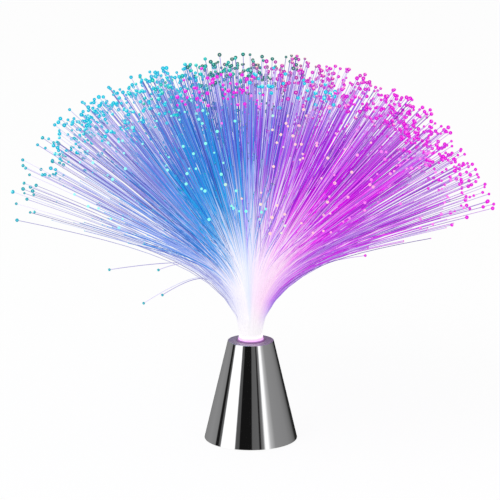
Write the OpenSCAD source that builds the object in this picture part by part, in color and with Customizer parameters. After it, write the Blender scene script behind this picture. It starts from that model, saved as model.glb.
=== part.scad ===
// Battery fibre optic lamp: a mirror-bright cone holds three colour-changing
// lights, and a plug-in spray of clear fibres carries their light to its tips.
// Millimetres, +Z up, the origin on the table under the middle of the cone,
// -Y towards the viewer.

/* [Cone shell] */
// Diameter of the cone across its rim
base_d = 78; // [77:0.5:84]
// Diameter of the cone across its top
top_d = 38.5; // [38:0.5:44]
// Height of the cone from its rim to its top face
shell_h = 84.2; // [80:0.2:96]
// Thickness of the cone's side wall
shell_wall = 1.8; // [1.6:0.1:2.2]
// Thickness of the cone's top wall
top_wall = 2; // [1.6:0.1:3]
// Width of the rounding round the cone's top edge
top_round = 0.6; // [0.3:0.1:1]
// Height of the rim above the table
rim_lift = 0.8; // [0.4:0.1:1.2]

/* [Fibre spray] */
// Height of the whole lamp to the tips of the upright fibres
lamp_h = 330; // [300:1:360]
// Width of one strand, which stands for a few finer fibres
fibre_d = 0.68; // [0.5:0.02:0.7]
// Diameter of the glued bundle inside its sleeve
bundle_d = 17.7; // [17.4:0.1:18.2]
// Height of the fibres' root above the cone's top face
root_h = 3; // [2.4:0.1:3.6]
// Lean of the outermost fibres far from their root, in degrees from upright
spread_angle = 80; // [60:1:84]
// Length over which a fibre takes up about two thirds of its lean
bend_length = 52; // [40:1:70]
// Depth of the spray from front to back as a share of its width
depth_share = 0.96; // [0.9:0.01:0.99]
// Share by which the fibres lean less towards the front and the back
front_lift_share = 0.09; // [0:0.01:0.15]
// Shortest fibre as a share of the longest
shortest_share = 0.86; // [0.7:0.01:1]

/* [Collar and sleeve] */
// Wall of the sleeve that grips the bundle
sleeve_wall = 0.6; // [0.5:0.05:0.7]
// Depth of the sleeve below the cone's top face
plug_depth = 21; // [19:0.5:24]
// Wall of the turning collar
collar_wall = 1.9; // [1.6:0.05:2]
// Height of the collar above the cone's top face
collar_h = 4.5; // [3.5:0.1:6]
// Width of the collar's lip at its upper end
collar_lip = 0.5; // [0.4:0.05:0.8]
// Thickness of the collar's hidden flange
collar_flange_t = 2; // [1.6:0.1:2.6]
// Overhang of the collar's hidden flange
collar_flange_w = 1.5; // [1:0.1:1.6]
// Length of the collar below its flange
collar_reach = 7.8; // [5:0.2:10]

/* [Light unit] */
// Wall of the white light housing
housing_wall = 1.4; // [1.2:0.05:1.6]
// Thickness of the housing's flange and of the ledge under the sleeve
housing_flange_t = 2; // [1.6:0.1:2.6]
// Height of the chamber between the board and the ledge
chamber_h = 12; // [11:0.5:15]
// Radius of the light chamber
chamber_r = 8.6; // [8.4:0.1:9]
// Thickness of the circuit board
board_t = 1.6; // [1:0.1:2]
// Radius of the ring on which the three lights stand
light_ring_r = 4.9; // [4.4:0.1:5.2]
// Diameter of a light's dome
light_d = 5; // [4.8:0.1:5.2]
// Height of a light above the board
light_h = 9.1; // [8.6:0.1:9.6]

/* [Base plate and door] */
// Height of the plate's underside above the rim
plate_recess = 0.8; // [0.5:0.1:1.2]
// Thickness of the base plate
plate_t = 2.2; // [2:0.1:2.6]
// Step in the shell's mouth that the plate seats against
seat_step = 0.6; // [0.4:0.05:0.8]
// Thickness of the battery door
door_t = 1.6; // [1.4:0.05:1.8]
// Width of the sprung tongue in the door
tongue_w = 10; // [8:0.5:12]
// Length of the sprung tongue
tongue_l = 11; // [9:0.5:14]
// Width of the foot ring
foot_w = 2.6; // [2:0.1:2.8]
// Depth to which the foot ring sits in its groove
foot_sunk = 0.6; // [0.4:0.05:0.8]

/* [Battery bay] */
// Diameter of one cell
cell_d = 10.5; // [10.2:0.05:10.6]
// Length of one cell with its button
cell_l = 44.5; // [44:0.1:45]
// Length of a contact spring with the cell in
spring_l = 4.5; // [3.8:0.1:4.8]
// Wall of the battery box
box_wall = 1.3; // [1:0.05:1.4]
// Thickness of the contact strip
contact_t = 0.4; // [0.3:0.05:0.5]

/* [Switch] */
// Travel of the switch knob between off and on
switch_travel = 3; // [2.5:0.1:3.2]
// Length of the knob's stem along its travel
knob_l = 3.2; // [2.6:0.1:3.4]
// Distance between the two switch screws
switch_pitch = 15; // [14.8:0.1:15.4]

/* [Hidden] */
$fn = 72;

// Clearances
fit_gap = 0.05;      // faces that are assembled against each other
plug_clear = 0.1;    // sleeve in collar
swivel_clear = 0.25; // collar in housing
hole_gap = 0.4;      // collar in the shell's top
swivel_play = 0.15;  // collar flange under the shell's top
plate_gap = 0.15;    // plate in the shell's mouth
door_gap = 0.2;      // door in its recess
groove_gap = 0.1;    // foot ring in its groove
screw_clear = 0.02;  // screw in its pilot hole
cell_gap = 0.5;      // between neighbouring cells

// Levels of the shell and the plate
rim_z = rim_lift;
top_z = rim_z + shell_h;
roof_z = top_z - top_wall;
taper = (base_d - top_d) / 2 / shell_h;
plate_z = rim_z + plate_recess;
plate_top = plate_z + plate_t;
function shell_r(z) = base_d / 2 - taper * (z - rim_z);
function cavity_r(z) = shell_r(z) - shell_wall;
function mouth_r(z) = shell_r(z) - shell_wall + seat_step;

// Sleeve, collar and light housing, from the bundle outwards and downwards
sleeve_in_r = bundle_d / 2 + fit_gap;
sleeve_r = sleeve_in_r + sleeve_wall;
collar_in_r = sleeve_r + plug_clear;
collar_r = collar_in_r + collar_wall;
hole_r = collar_r + hole_gap;
root_z = top_z + root_h;
plug_z = top_z - plug_depth;
flange_top = roof_z - swivel_play;
flange_low = flange_top - collar_flange_t;
collar_low = flange_low - collar_reach;
housing_top = flange_low - fit_gap;
seat_r = collar_r + swivel_clear;
seat_out_r = collar_r + collar_flange_w + fit_gap;
socket_r = sleeve_r + 2 * plug_clear;
ledge_r = bundle_d / 2 - 0.65;
ledge_low = plug_z - housing_flange_t;
board_top = ledge_low - chamber_h;
board_low = board_top - board_t;
light_boss_r = 2;
light_boss_at = seat_out_r + 3 * fit_gap + light_boss_r;
light_boss_l = 6;
light_flange_top = roof_z - light_boss_l;
light_flange_low = light_flange_top - housing_flange_t;
light_flange_r = light_boss_at + light_boss_r + 0.2;
post_r = 2.2;
post_at = chamber_r + post_r;
board_r = post_at + post_r + 0.4;

// Screws: [thread radius, length, head radius, head height]
SMALL_SCREW = [0.95, 6.5, 1.9, 1.3];
SWITCH_SCREW = [0.95, 3, 1.6, 1.3];
BASE_SCREW = [1.3, 9, 2.7, 1.7];
screw_angles = [90, 210, 330];

// Battery bay
pitch = cell_d + cell_gap;
strip_gap = contact_t + fit_gap;
bay_l = cell_l + spring_l + 2 * strip_gap + 2 * fit_gap;
bay_w = 2 * pitch + cell_d + 0.8;
cell_z = plate_top - 0.2 + cell_d / 2;
scallop_r = cell_d / 2 + 0.2;
bay_top = cell_z + scallop_r;
roof_t = 1.4;
box_top = bay_top + roof_t;
box_x = bay_l / 2 + box_wall;
box_y = bay_w / 2 + box_wall;
strip_x = bay_l / 2 - fit_gap;
strip_low = cell_z - 2.2;
strip_h = bay_top - strip_low - 0.6;
strip_w = 9;
tab_w = 3;
tab_top = box_top + 2.8;
// Square-cornered part of the bay at each end, where the contacts stand
end_zone = spring_l + strip_gap - 0.2;

// Battery door
door_x = bay_l / 2 + 1.8;
door_y = bay_w / 2 + 1.15;
hook_w = 2.6;
hook_t = 1.2;
hook_reach = 2.2;
// The nub on the tongue's end rubs on the recess and holds the door shut
nub_l = door_gap - 0.03;
nub_h = 0.6;

// Screws that hold the base plate
base_boss_r = 3.2;
base_boss_l = 26;
base_web_t = 1.4;
turret_r = 4.2;
turret_h = 2;
turret_floor = 2.2;
screw_seat_z = plate_top + turret_h - turret_floor;
counterbore_r = BASE_SCREW[2] + 0.4;

// Foot ring
foot_out_r = mouth_r(plate_z) - plate_gap - 1.4;
foot_in_r = foot_out_r - foot_w;
foot_top = plate_z + foot_sunk;

// Switch
frame_t = 0.5;
frame_l = switch_pitch + 4.6;
frame_w = 5.8;
pad_l = frame_l + 1.6;
pad_w = frame_w + 1.4;
switch_y = (box_y + foot_in_r) / 2;
pad_top = plate_top + 1.4;
pocket_top = plate_top + 0.1;
case_l = 11.7;
case_top = pad_top + 4.4;
slider_l = 5;
slider_h = 1.7;
slot_l = knob_l + switch_travel + 0.6;
slot_w = 2.8;
stem_w = 2.2;
pocket_l = case_l - 0.7;
pin_pitch = 3;
pin_l = 3.6;

// The base screws stand between the foot ring, the battery box and the switch
base_screw_r = foot_in_r - counterbore_r - 0.9;
base_screw_angle = min(
    asin((box_y + turret_r + 0.2) / base_screw_r),
    acos((frame_l / 2 + turret_r + 0.2) / base_screw_r)
);
base_screw_angles = [for (s = [0, 180], side = [-1, 1]) s + side * base_screw_angle];

// Wires: how far they rise and drop straight at their ends, and where they meet the board
wire_r = 0.65;
wire_rise = 14;
wire_drop = 12;
wire_low_rise = 9;
wire_low_drop = 8;
wire_pad_x = 5.5;
wire_pad_y = 7.5;

// Fibres: rings of strands round the axis, cut into equal sectors
SECTORS = 9;
RINGS = 8;
sector_angle = 360 / SECTORS;
bundle_edge = 0.3;
ring_step = (bundle_d / 2 - fibre_d / 2 - bundle_edge) / RINGS;
strands_in_sector = RINGS * (RINGS + 1) / 2;
root_sunk = 0.5;
longest = lamp_h - root_z + root_sunk;
path_step = longest / 80;
crowding = 1.7; // how closely a strand's corners crowd towards its root
// How far a strand may stray from its even place: in lean and in azimuth, degrees
lean_jitter_angle = 3.2;
turn_jitter_angle = 1.7;
spray_seed = 5;
jitter = rands(-1, 1, 3 * SECTORS * strands_in_sector, spray_seed);
// Stray strands that droop out of the spray: [sector, place in its outer ring, lean,
// share of the longest strand]
STRAYS = [[5, 3, 116, 0.36], [5, 4, 118, 0.43], [5, 6, 94, 0.6], [5, 7, 97, 0.39], [9, 5, 87, 0.5]];

CHROME = [0.80, 0.80, 0.82];
BLACK = [0.10, 0.10, 0.11];
WHITE = [0.93, 0.93, 0.91];
STEEL = [0.72, 0.73, 0.75];
FIBRE = [0.66, 0.55, 0.98];
PINK = [0.97, 0.66, 0.95];

// ---------------------------------------------------------------- helpers

// A ring between two radii and two levels, flat at both ends
module tube(r_out, r_in, z0, z1) {
    translate([0, 0, z0])
        difference() {
            cylinder(r = r_out, h = z1 - z0);
            translate([0, 0, -1]) cylinder(r = r_in, h = z1 - z0 + 2);
        }
}

// A block centred on x and y between two levels
module block(x, y, z0, z1) {
    translate([-x / 2, -y / 2, z0]) cube([x, y, z1 - z0]);
}

module at_angles(r, angles) {
    for (a = angles) rotate([0, 0, a]) translate([r, 0, 0]) children();
}

// A pan-head screw that points up, with the underside of its head at z = 0
module pan_screw(s) {
    difference() {
        union() {
            cylinder(r = s[0], h = s[1] - s[0]);
            translate([0, 0, s[1] - s[0]]) cylinder(r1 = s[0], r2 = 0.1, h = s[0]);
            translate([0, 0, -s[3]]) cylinder(r1 = s[2] - 0.4, r2 = s[2], h = s[3]);
        }
        for (a = [0, 90])
            rotate([0, 0, a]) block(1.3 * s[2], 0.35 * s[2], -s[3] - 1, -s[3] / 2);
    }
}

// The four places of the base plate's screws, with +X outwards at each
module at_base_screws() {
    at_angles(base_screw_r, base_screw_angles) children();
}

function unit(v) = v / norm(v);
function bezier(p, t) =
    pow(1 - t, 3) * p[0] + 3 * t * pow(1 - t, 2) * p[1]
    + 3 * t * t * (1 - t) * p[2] + pow(t, 3) * p[3];

// Triangles between rings of points, each ring with the same number of points
function tube_faces(rings, sides) = concat(
    [for (i = [0 : rings - 2], j = [0 : sides - 1])
        each [
            [i * sides + j, (i + 1) * sides + (j + 1) % sides, i * sides + (j + 1) % sides],
            [i * sides + j, (i + 1) * sides + j, (i + 1) * sides + (j + 1) % sides]
        ]],
    [for (j = [1 : sides - 2]) [0, j, j + 1]],
    [for (j = [1 : sides - 2])
        let (b = (rings - 1) * sides) [b, b + j + 1, b + j]]
);

// A round wire along a list of points
module swept_wire(path, r, sides) {
    n = len(path);
    dirs = [for (i = [0 : n - 1])
        unit(path[min(i + 1, n - 1)] - path[max(i - 1, 0)])];
    points = [for (i = [0 : n - 1])
        let (
            d = dirs[i],
            side = unit(cross(abs(d[0]) < 0.9 ? [1, 0, 0] : [0, 1, 0], d)),
            up = cross(d, side)
        )
        for (j = [0 : sides - 1])
            path[i] + r * (cos(360 * j / sides) * side + sin(360 * j / sides) * up)];
    polyhedron(points, tube_faces(n, sides));
}

// ---------------------------------------------------------------- shell

module cone_shell() {
    color(CHROME)
        difference() {
            union() {
                difference() {
                    shell_envelope(0);
                    shell_cavity();
                }
                intersection() {
                    union() {
                        at_base_screws() base_boss();
                        at_angles(light_boss_at, screw_angles)
                            translate([0, 0, light_flange_top])
                                cylinder(r = light_boss_r, h = light_boss_l + top_wall / 2);
                    }
                    shell_envelope(shell_wall / 2);
                }
            }
            translate([0, 0, roof_z - 1]) cylinder(r = hole_r, h = top_wall + 2);
            at_base_screws()
                translate([0, 0, plate_top])
                    cylinder(r = BASE_SCREW[0] + screw_clear, h = BASE_SCREW[1] + 2);
            at_angles(light_boss_at, screw_angles)
                translate([0, 0, light_flange_top - 1])
                    cylinder(r = SMALL_SCREW[0] + screw_clear, h = light_boss_l + 0.6);
        }
}

// The outside of the cone, drawn in by a margin
module shell_envelope(margin) {
    round_steps = 4;
    top_r = top_d / 2;
    rotate_extrude()
        polygon(concat(
            [[0, rim_z], [base_d / 2 - margin, rim_z]],
            [for (i = [0 : round_steps])
                let (a = 90 * i / round_steps)
                [
                    top_r - margin - top_round * (1 - cos(a)) + taper * top_round,
                    top_z - margin - top_round * (1 - sin(a))
                ]],
            [[0, top_z - margin]]
        ));
}

// The hollow inside, with the step that the base plate seats against
module shell_cavity() {
    step_z = plate_top + fit_gap;
    rotate_extrude()
        polygon([
            [0, rim_z - 1],
            [mouth_r(rim_z - 1), rim_z - 1],
            [mouth_r(step_z), step_z],
            [cavity_r(step_z), step_z],
            [cavity_r(roof_z), roof_z],
            [0, roof_z]
        ]);
}

// A pillar for one base screw, with a web that ties it to the cone's wall
module base_boss() {
    translate([0, 0, plate_top + turret_h + fit_gap]) {
        cylinder(r = base_boss_r, h = base_boss_l);
        translate([0, -base_web_t / 2, 0]) cube([base_d, base_web_t, base_boss_l]);
    }
}

// ---------------------------------------------------------------- collar and sleeve

module fibre_collar() {
    flare = 6;
    lip_r = collar_in_r + collar_lip;
    color(PINK)
        rotate_extrude()
            polygon(concat(
                [
                    [collar_in_r, collar_low],
                    [collar_r, collar_low],
                    [collar_r, flange_low],
                    [collar_r + collar_flange_w, flange_low],
                    [collar_r + collar_flange_w, flange_top],
                    [collar_r, flange_top]
                ],
                [for (i = [0 : flare])
                    let (a = 90 * i / flare)
                    [
                        lip_r + (collar_r - lip_r) * (1 - sin(a)),
                        top_z + collar_h * (1 - cos(a)) * 0.9 + 0.1 * collar_h
                    ]],
                [[collar_in_r, top_z + collar_h]]
            ));
}

module bundle_sleeve() {
    color(STEEL) tube(sleeve_r, sleeve_in_r, plug_z, root_z - 0.4);
}

// ---------------------------------------------------------------- light unit

// A stepped tube: chamber for the lights, ledge, socket for the sleeve and
// seat for the collar, with a flange to the shell and posts for the board
module light_housing() {
    color(WHITE)
        difference() {
            union() {
                translate([0, 0, board_top])
                    cylinder(r = chamber_r + housing_wall, h = ledge_low - board_top);
                translate([0, 0, ledge_low])
                    cylinder(r = socket_r + housing_wall, h = collar_low - ledge_low);
                translate([0, 0, collar_low - housing_flange_t])
                    cylinder(r = seat_out_r, h = housing_top - collar_low + housing_flange_t);
                translate([0, 0, light_flange_low])
                    cylinder(r = light_flange_r, h = housing_flange_t);
                at_angles(post_at, [0, 180])
                    translate([0, 0, board_top])
                        cylinder(r = post_r, h = light_flange_low - board_top + 1);
            }
            translate([0, 0, board_top - 1]) cylinder(r = chamber_r, h = chamber_h + 1);
            translate([0, 0, ledge_low - 1]) cylinder(r = ledge_r, h = plug_z - ledge_low + 2);
            translate([0, 0, plug_z]) cylinder(r = socket_r, h = housing_top - plug_z + 1);
            translate([0, 0, collar_low - fit_gap])
                cylinder(r = seat_r, h = housing_top - collar_low + 1);
            at_angles(post_at, [0, 180])
                translate([0, 0, board_top - 1])
                    cylinder(r = SMALL_SCREW[0] + screw_clear, h = SMALL_SCREW[1]);
            at_angles(light_boss_at, screw_angles)
                translate([0, 0, light_flange_low - 1])
                    cylinder(r = SMALL_SCREW[0] + 0.2, h = housing_flange_t + 2);
        }
}

module led_board() {
    color("darkgreen")
        difference() {
            translate([0, 0, board_low]) cylinder(r = board_r, h = board_t);
            at_angles(post_at, [0, 180])
                translate([0, 0, board_low - 1])
                    cylinder(r = SMALL_SCREW[0] + 0.2, h = board_t + 2);
            at_angles(light_ring_r, screw_angles) at_light_legs()
                translate([0, 0, board_low - 1]) cylinder(r = 0.45, h = board_t + 2);
        }
}

module at_light_legs() {
    leg_pitch = 1.27;
    for (i = [-1.5 : 1 : 1.5]) translate([0, i * leg_pitch, 0]) children();
}

// One through-hole light: domed lens, flange and four legs
module led(i) {
    stand = 0.5;
    dome_z = board_top + light_h - light_d / 2;
    leg_low = board_low - 1.2;
    color("white")
        rotate([0, 0, screw_angles[i - 1]])
            translate([light_ring_r, 0, 0]) {
                translate([0, 0, board_top + stand]) cylinder(r = light_d / 2 + 0.4, h = 1);
                translate([0, 0, board_top + stand])
                    cylinder(r = light_d / 2, h = dome_z - board_top - stand);
                translate([0, 0, dome_z])
                    intersection() {
                        sphere(r = light_d / 2);
                        cylinder(r = light_d, h = light_d);
                    }
                at_light_legs()
                    translate([0, 0, leg_low])
                        cylinder(r = 0.3, h = board_top + stand - leg_low + 0.2);
            }
}

module control_chip() {
    body_low = board_low - 1.7;
    color(BLACK) block(4, 5, body_low, board_low - 0.2);
    color(STEEL)
        for (sx = [-1, 1], i = [-1.5 : 1 : 1.5])
            translate([sx * 2.4, i * 1.27, 0]) {
                block(1.2, 0.4, board_low - 0.9, board_low - 0.7);
                translate([sx * 0.5, 0, 0]) block(0.2, 0.4, board_low - 0.9, board_low);
            }
}

module chip_resistors() {
    color(BLACK)
        at_angles(9.4, [30, 150, 270])
            translate([0, 0, board_low - 0.5]) block(1.25, 2, 0, 0.5);
}

module board_screws() {
    color(STEEL)
        at_angles(post_at, [0, 180]) translate([0, 0, board_low]) pan_screw(SMALL_SCREW);
}

module housing_screws() {
    color(STEEL)
        at_angles(light_boss_at, screw_angles)
            translate([0, 0, light_flange_low]) pan_screw(SMALL_SCREW);
}

// ---------------------------------------------------------------- base plate

// One moulding: the disc, the battery box, the screw turrets and the switch pad
module base_plate() {
    color(BLACK)
        difference() {
            union() {
                rotate_extrude()
                    polygon([
                        [0, plate_z],
                        [mouth_r(plate_z) - plate_gap, plate_z],
                        [mouth_r(plate_top) - plate_gap, plate_top],
                        [0, plate_top]
                    ]);
                intersection() {
                    block(2 * box_x, 2 * box_y, plate_z + 1, box_top);
                    box_limit();
                }
                at_base_screws()
                    translate([0, 0, plate_top - 1]) cylinder(r = turret_r, h = turret_h + 1);
                translate([0, switch_y, 0]) block(pad_l, pad_w, plate_z + 1, pad_top);
            }
            battery_cavity();
            door_recess();
            at_base_screws() {
                translate([0, 0, plate_z - 1])
                    cylinder(r = counterbore_r, h = screw_seat_z - plate_z + 1);
                translate([0, 0, plate_z - 1])
                    cylinder(r = BASE_SCREW[0] + 0.25, h = plate_t + turret_h + 2);
            }
            tube(foot_out_r + groove_gap, foot_in_r - groove_gap, plate_z - 1, foot_top);
            translate([0, switch_y, 0]) switch_cuts();
        }
}

// The room that the cone's wall leaves for the battery box
module box_limit() {
    rotate_extrude()
        polygon([
            [0, plate_z],
            [cavity_r(plate_z) - plate_gap, plate_z],
            [cavity_r(box_top + 1) - plate_gap, box_top + 1],
            [0, box_top + 1]
        ]);
}

// Room for three cells under a scalloped roof, with square ends for the contacts
module battery_cavity() {
    block(bay_l, bay_w, plate_z - 1, cell_z);
    for (i = [-1 : 1])
        translate([-bay_l / 2, i * pitch, cell_z])
            rotate([0, 90, 0]) cylinder(r = scallop_r, h = bay_l);
    for (s = [-1, 1]) {
        translate([s * (bay_l / 2 - end_zone / 2), 0, 0])
            block(end_zone, bay_w, cell_z - 1, bay_top);
        // Slot in the roof for the solder tab
        translate([s * (strip_x - contact_t / 2), s * pitch, 0])
            block(contact_t + 0.4, tab_w + 0.4, bay_top - 1, box_top + 1);
    }
    // Slots in the end wall for the door's hooks
    for (s = [-1, 1])
        translate([-box_x, s * pitch / 2, 0])
            block(2 * box_wall + 2, hook_w + 0.6, plate_top, plate_top + hook_t + 1.2);
}

module door_recess() {
    translate([-bay_l / 2 - door_gap, -door_y - door_gap, plate_z - 1])
        cube([door_x + bay_l / 2 + 2 * door_gap, 2 * (door_y + door_gap), door_t + 1 + fit_gap]);
}

// The knob's pocket and slot, and the pilots for the two switch screws
module switch_cuts() {
    block(pocket_l, frame_w + 0.2, plate_z - 1, pocket_top);
    block(slot_l, slot_w, plate_z - 1, pad_top + 1);
    for (s = [-1, 1])
        translate([s * switch_pitch / 2, 0, pad_top + frame_t - SWITCH_SCREW[1] - 0.2])
            cylinder(r = SWITCH_SCREW[0] + screw_clear, h = SWITCH_SCREW[1] + 1);
}

module base_screws() {
    color(STEEL) at_base_screws() translate([0, 0, screw_seat_z]) pan_screw(BASE_SCREW);
}

module foot_ring() {
    edge = 0.4;
    color([0.16, 0.16, 0.17])
        rotate_extrude()
            polygon([
                [foot_in_r + edge, 0],
                [foot_out_r - edge, 0],
                [foot_out_r, edge],
                [foot_out_r, foot_top],
                [foot_in_r, foot_top],
                [foot_in_r, edge]
            ]);
}

// The door turns on its outer edge at -X, with hooks behind the plate there and
// a springy tongue at +X that holds by its nub
module battery_door() {
    slit = 1;
    door_top = plate_z + door_t;
    hook_z = plate_top + fit_gap;
    color(BLACK)
        difference() {
            union() {
                translate([-bay_l / 2, -door_y, plate_z])
                    cube([door_x + bay_l / 2, 2 * door_y, door_t]);
                for (s = [-1, 1])
                    translate([-bay_l / 2, s * pitch / 2 - hook_w / 2, 0]) {
                        translate([0.2, 0, plate_z + 0.5])
                            cube([1.4, hook_w, hook_z + hook_t - plate_z - 0.5]);
                        translate([-hook_reach, 0, hook_z])
                            cube([hook_reach + 1.6, hook_w, hook_t]);
                    }
                translate([door_x, 0, 0])
                    block(2 * nub_l, tongue_w - 2, door_top - nub_h - 0.1, door_top - 0.1);
            }
            for (s = [-1, 1])
                translate([door_x - tongue_l / 2, s * (tongue_w + slit) / 2, 0])
                    block(tongue_l + 0.02, slit, plate_z - 1, door_top + 1);
            // Finger grooves across the tongue
            for (i = [0 : 3])
                translate([door_x - 2 - 1.6 * i, 0, 0])
                    block(0.8, tongue_w - 2, plate_z - 1, plate_z + 0.4);
        }
}

// ---------------------------------------------------------------- batteries

// Cell 2 lies the other way round, so that the three are in series
module battery_cell(i) {
    button_l = 1;
    button_r = 1.9;
    way = i == 2 ? -1 : 1;
    start = bay_l / 2 - strip_gap - fit_gap - cell_l;
    color("silver")
        translate([0, (i - 2) * pitch, cell_z])
            rotate([0, way * 90, 0])
                translate([0, 0, start]) {
                    cylinder(r = cell_d / 2 - 0.4, h = 0.5);
                    translate([0, 0, 0.4]) cylinder(r = cell_d / 2, h = cell_l - button_l - 0.4);
                    cylinder(r = button_r, h = cell_l);
                }
}

// A contact strip on the end wall at side s (-1 or 1), from one y to another
module contact_strip(s, y0, y1) {
    translate([s * (strip_x - contact_t / 2), (y0 + y1) / 2, 0])
        block(contact_t, y1 - y0, strip_low, strip_low + strip_h);
}

module solder_tab(s, y) {
    translate([s * (strip_x - contact_t / 2), y, 0])
        block(contact_t, tab_w, strip_low + strip_h - 1, tab_top);
}

// A tapering spring from the strip at side s to the cell's flat end
module contact_spring(s, y) {
    turns = 3.5;
    steps = 12;
    wire = 0.35;
    wide_r = 3.3;
    narrow_r = 2.2;
    x0 = strip_x - contact_t + 0.1;
    x1 = strip_x - contact_t - spring_l + wire;
    path = [for (i = [0 : turns * steps])
        let (
            t = i / (turns * steps),
            r = wide_r + (narrow_r - wide_r) * t,
            a = 360 * i / steps
        )
        [s * (x0 + (x1 - x0) * t), y + r * cos(a), cell_z + r * sin(a)]];
    swept_wire(path, wire, 5);
}

module contact_negative() {
    y = -pitch;
    color(STEEL) {
        contact_strip(-1, y - strip_w / 2, y + strip_w / 2);
        solder_tab(-1, y);
        contact_spring(-1, y);
    }
}

module contact_bridge_1() {
    color(STEEL) {
        contact_strip(1, -pitch - strip_w / 2, strip_w / 2);
        contact_spring(1, 0);
    }
}

module contact_bridge_2() {
    color(STEEL) {
        contact_strip(-1, -strip_w / 2, pitch + strip_w / 2);
        contact_spring(-1, pitch);
    }
}

module contact_positive() {
    y = pitch;
    color(STEEL) {
        contact_strip(1, y - strip_w / 2, y + strip_w / 2);
        solder_tab(1, y);
    }
}

// ---------------------------------------------------------------- switch

module switch_frame() {
    color(STEEL)
        translate([0, switch_y, 0])
            difference() {
                union() {
                    block(frame_l, frame_w, pad_top, pad_top + frame_t);
                    block(case_l, frame_w, pad_top, case_top);
                }
                block(case_l - 0.8, frame_w - 0.8, pad_top + frame_t, case_top + 1);
                block(slot_l, slot_w, pad_top - 1, pad_top + frame_t + 1);
                for (s = [-1, 1])
                    translate([s * switch_pitch / 2, 0, pad_top - 1])
                        cylinder(r = SWITCH_SCREW[0] + 0.15, h = frame_t + 2);
            }
}

module switch_base() {
    base_low = pad_top + frame_t + slider_h + 0.2;
    color([0.45, 0.3, 0.16])
        translate([0, switch_y, 0]) {
            block(case_l - 1, frame_w - 1, base_low, case_top + 0.2);
            for (i = [-1 : 1])
                translate([i * pin_pitch, 0, 0]) block(0.5, 1.6, case_top - 0.5, case_top + pin_l);
        }
}

// At rest the knob stands at +X, which is on
module switch_knob() {
    knob_low = plate_z + 0.3;
    slider_low = pad_top + frame_t + fit_gap;
    color(WHITE)
        translate([switch_travel / 2, switch_y, 0])
            difference() {
                union() {
                    block(slider_l, frame_w - 1.1, slider_low, slider_low + slider_h);
                    block(knob_l, stem_w, knob_low, slider_low + 0.5);
                }
                for (i = [-1 : 1])
                    translate([i * 0.9, 0, 0])
                        block(0.4, stem_w + 1, knob_low - 1, knob_low + 0.35);
            }
}

module switch_screws() {
    color(STEEL)
        for (s = [-1, 1])
            translate([s * switch_pitch / 2, switch_y, pad_top + frame_t])
                mirror([0, 0, 1]) pan_screw(SWITCH_SCREW);
}

// ---------------------------------------------------------------- wires

// An insulated wire that leaves and arrives straight up
module wire(start, end, lift, drop) {
    steps = 22;
    route = [start, start + [0, 0, lift], end - [0, 0, drop], end];
    swept_wire([for (i = [0 : steps]) bezier(route, i / steps)], wire_r, 8);
}

tab_x = strip_x - contact_t - wire_r - fit_gap;
pin_top = case_top + pin_l + fit_gap;

module wire_negative() {
    color(BLACK)
        wire([-tab_x, -pitch, box_top + 0.6], [-wire_pad_x, -wire_pad_y, board_low - fit_gap],
            wire_rise, wire_drop);
}

module wire_positive() {
    color("red")
        wire([tab_x, pitch, box_top + 0.6], [pin_pitch, switch_y, pin_top],
            wire_low_rise, -wire_low_drop);
}

module wire_switched() {
    color("gold")
        wire([0, switch_y, pin_top], [wire_pad_x, wire_pad_y, board_low - fit_gap],
            wire_rise, wire_drop);
}

// ---------------------------------------------------------------- fibres

// Lean from upright at a distance s from the root
function lean_at(s, lean) = lean * (1 - exp(-s / bend_length));

// [radius, height] along one strand, in even steps
function strand_path(r0, lean, l) =
    let (n = ceil(l / path_step), step = l / n)
    [for (
        i = 0, p = [r0, root_z - root_sunk];
        i <= n;
        i = i + 1,
        p = p + step * [sin(lean_at((i - 0.5) * step, lean)), cos(lean_at((i - 0.5) * step, lean))]
    ) p];

// Distances from the root at which a strand has its corners. Neighbours share them,
// which keeps them apart, and they crowd towards the root, where a strand bends most
function stations(lean, l) =
    let (stretches = lean < 22 ? 3 : 4)
    concat(
        [for (i = [0 : stretches - 1])
            let (s = longest * pow(i / stretches, crowding))
            if (s < 0.9 * l) s],
        [l]
    );

// One three-sided strand
module strand(r0, azimuth, turn, lean, l) {
    sides = 3;
    path = strand_path(r0, lean, l);
    corners = stations(lean, l);
    points = [for (s = corners)
        let (
            p = path[round(s / l * (len(path) - 1))],
            phi = azimuth + turn * s / l,
            a = lean_at(s, lean),
            depth = s == 0 ? 1 : depth_share,
            across = [-sin(phi), cos(phi), 0],
            normal = [cos(a) * cos(phi), cos(a) * sin(phi), -sin(a)]
        )
        for (j = [0 : sides - 1])
            [p[0] * cos(phi), p[0] * depth * sin(phi), p[1]]
            + fibre_d / 2 * (cos(360 * j / sides) * normal + sin(360 * j / sides) * across)];
    polyhedron(points, tube_faces(len(corners), sides));
}

// Strand j of ring q in sector k. The lean grows evenly from ring to ring, and the
// outermost strands keep within the spread unless they are strays
module ring_strand(k, q, j) {
    id = 3 * ((k - 1) * strands_in_sector + q * (q - 1) / 2 + j);
    stray = q < RINGS ? [] : [for (s = STRAYS) if (s[0] == k && s[1] == j) s];
    inward = q == RINGS ? 1 : 0;
    azimuth = sector_angle * (k - 1 + (j + 0.5) / q);
    even_lean = spread_angle * (1 - front_lift_share * abs(sin(azimuth))) * (q - 0.5) / (RINGS - 0.5)
        + lean_jitter_angle * (jitter[id] - inward);
    even_l = longest * (1 - (1 - shortest_share) * (1 + jitter[id + 1]) / 2);
    lean = len(stray) > 0 ? stray[0][2] : even_lean;
    l = len(stray) > 0 ? stray[0][3] * longest : even_l;
    strand(q * ring_step, azimuth, turn_jitter_angle * jitter[id + 2], lean, l);
}

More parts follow.
